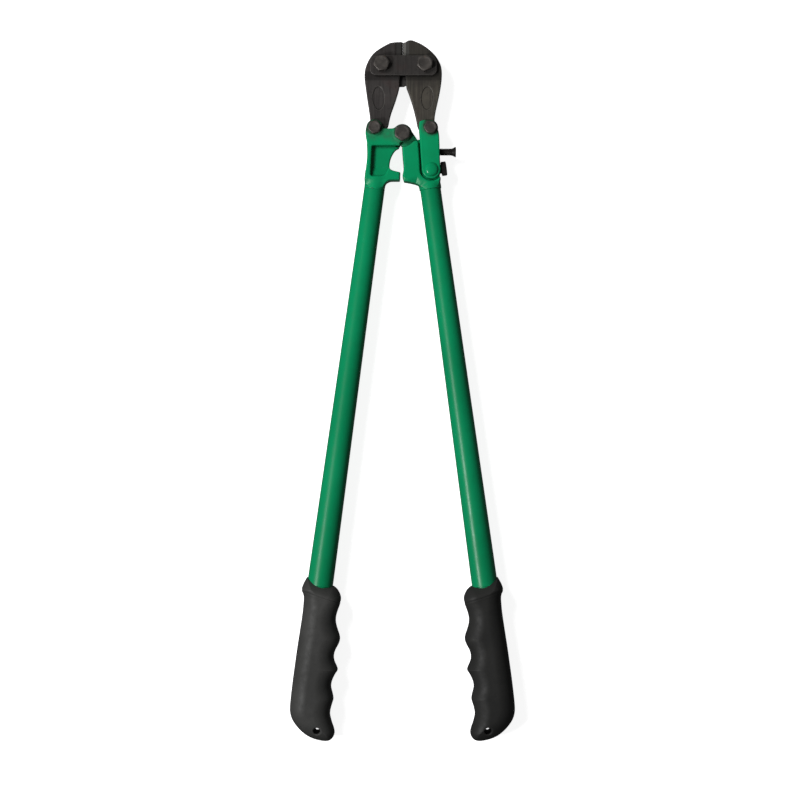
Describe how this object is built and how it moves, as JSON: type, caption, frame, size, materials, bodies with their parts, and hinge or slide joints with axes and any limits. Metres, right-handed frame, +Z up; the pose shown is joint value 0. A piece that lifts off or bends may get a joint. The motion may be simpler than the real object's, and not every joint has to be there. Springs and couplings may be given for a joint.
{
  "type": "bolt cutters",
  "caption": "Long-handled bolt cutters: two forged jaws in bolted head straps, toggle brackets with a screw adjuster, tubular handles and rubber grips with finger grooves.",
  "frame": {"origin": "centre of the footprint on the floor, with the tool lying flat and closed", "axes": "+Y along the tool towards the jaws, +X to the right, +Z up out of the flat tool; every pivot is parallel to Z"},
  "size_m": [0.2478, 0.7706, 0.04],
  "materials": {
    "green_enamel": "gloss enamel paint over forged and tubular steel",
    "jaw_steel": "blackened forged alloy steel with ground edges",
    "strap_steel": "blackened rolled steel",
    "bolt_steel": "black oxide",
    "screw_steel": "black oxide",
    "rivet_enamel": "gloss enamel paint",
    "grip_rubber": "matt moulded rubber"
  },
  "bodies": {
    "head": {"front_strap": "strap_steel", "rear_strap": "strap_steel", "left_jaw_bolt": "bolt_steel", "right_jaw_bolt": "bolt_steel", "left_jaw_washer": "bolt_steel", "right_jaw_washer": "bolt_steel", "left_jaw_nut": "bolt_steel", "right_jaw_nut": "bolt_steel"},
    "left_jaw": {"left_jaw": "jaw_steel"},
    "right_jaw": {"right_jaw": "jaw_steel"},
    "left_handle": {"left_bracket": "green_enamel", "left_tube": "green_enamel", "left_grip": "grip_rubber", "left_handle_bolt": "bolt_steel", "left_handle_washer": "bolt_steel", "left_handle_nut": "bolt_steel", "centre_bolt": "bolt_steel", "centre_washer": "bolt_steel", "centre_nut": "bolt_steel"},
    "adjusting_link": {"adjusting_link": "green_enamel", "link_rivet": "rivet_enamel", "right_handle_bolt": "bolt_steel", "right_handle_washer": "bolt_steel", "right_handle_nut": "bolt_steel"},
    "right_handle": {"right_bracket": "green_enamel", "right_tube": "green_enamel", "right_grip": "grip_rubber"},
    "adjusting_screw": {"adjusting_screw": "screw_steel"},
    "lock_screw": {"lock_screw": "screw_steel"}
  },
  "joints": [
    {"name": "handle_opening", "type": "hinge", "parent": "left_jaw", "child": "left_handle", "pos_m": [-0.0306, 0.2888, 0.02], "axis": [0, 0, -1], "range_deg": [0, 46]},
    {"name": "left_jaw_pivot", "type": "hinge", "parent": "head", "child": "left_jaw", "pos_m": [-0.0228, 0.3586, 0.02], "axis": [0, 0, 1], "range_deg": [0, 8.5]},
    {"name": "right_jaw_pivot", "type": "hinge", "parent": "head", "child": "right_jaw", "pos_m": [0.0246, 0.3586, 0.02], "axis": [0, 0, -1], "range_deg": [0, 8.5]},
    {"name": "right_link_pivot", "type": "hinge", "parent": "right_jaw", "child": "adjusting_link", "pos_m": [0.0306, 0.2888, 0.02], "axis": [0, 0, 1], "range_deg": [0, 46.5]},
    {"name": "jaw_adjustment", "type": "hinge", "parent": "adjusting_link", "child": "right_handle", "pos_m": [0.0316, 0.2429, 0.02], "axis": [0, 0, 1], "range_deg": [-1, 1]},
    {"name": "adjusting_screw_travel", "type": "slide", "parent": "adjusting_link", "child": "adjusting_screw", "axis": [-1, 0, 0], "range_m": [-0.0005, 0.0005]},
    {"name": "lock_screw_travel", "type": "slide", "parent": "right_handle", "child": "lock_screw", "axis": [0.9907, 0.1361, 0], "range_m": [0, 0.003]}
  ],
  "couplings": [
    {"joint": "left_jaw_pivot", "follows": "handle_opening", "ratio": 0.167},
    {"joint": "right_jaw_pivot", "follows": "handle_opening", "ratio": 0.167},
    {"joint": "right_link_pivot", "follows": "handle_opening", "ratio": 1},
    {"joint": "adjusting_screw_travel", "follows": "jaw_adjustment", "m_per_rad": 0.0202}
  ]
}
